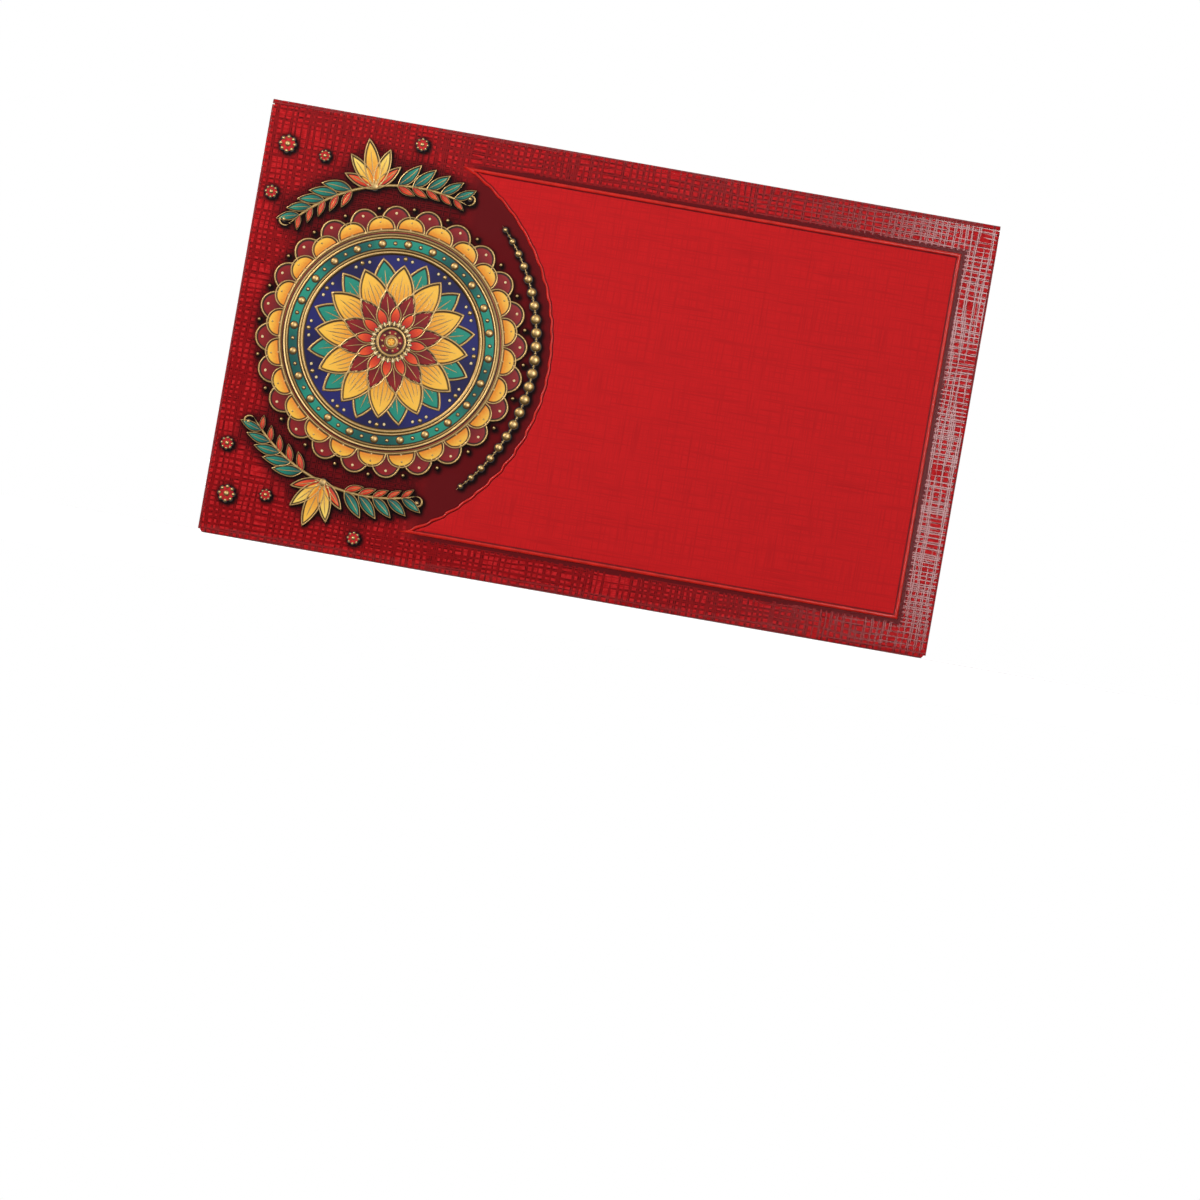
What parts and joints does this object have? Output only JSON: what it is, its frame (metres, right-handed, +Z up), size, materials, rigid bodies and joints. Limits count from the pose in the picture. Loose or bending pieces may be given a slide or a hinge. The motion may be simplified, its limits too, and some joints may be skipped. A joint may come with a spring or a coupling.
{
  "type": "gift money envelope",
  "caption": "Flat red card envelope for gift money, with a scalloped closing flap, raised bead borders and an embossed gold medallion on the front.",
  "frame": {"origin": "middle of the bounding box at the bottom fold, with the envelope standing on that fold", "axes": "+X along the length, to the right as the front is read; -Y out of the front; +Z up, towards the top fold"},
  "size_m": [0.185, 0.003, 0.11],
  "materials": {
    "varnished_card": "deep red print under a raised gloss varnish in a fine crosshatch, bare white card inside",
    "matte_field": "matte bright red, embossed, with a faint linen print",
    "adhesive": "dried clear glue film",
    "gold_foil": "gold hot foil over embossed card",
    "cream_foil": "cream pearl ink over embossed card",
    "teal_foil": "teal ink with gold edges over embossed card"
  },
  "bodies": {
    "pocket": {"front_panel": "varnished_card", "bottom_fold": "varnished_card", "top_fold": "varnished_card", "left_side_fold": "varnished_card", "right_side_fold": "varnished_card", "left_side_flap": "varnished_card", "right_side_flap": "varnished_card", "left_glue_line": "adhesive", "right_glue_line": "adhesive", "back_panel": "varnished_card", "front_field": "matte_field", "medallion": "gold_foil", "pearl_band": "cream_foil", "lace_rim": "gold_foil", "arc_pearls": "gold_foil", "upper_spray": "teal_foil", "lower_spray": "teal_foil"},
    "flap": {"closing_flap": "varnished_card", "flap_field": "matte_field"}
  },
  "joints": [
    {"name": "flap_hinge", "type": "hinge", "parent": "pocket", "child": "flap", "pos_m": [0, 0, 0.10887], "axis": [1, 0, 0], "range_deg": [0, 180], "deforming": ["top_fold"]}
  ]
}
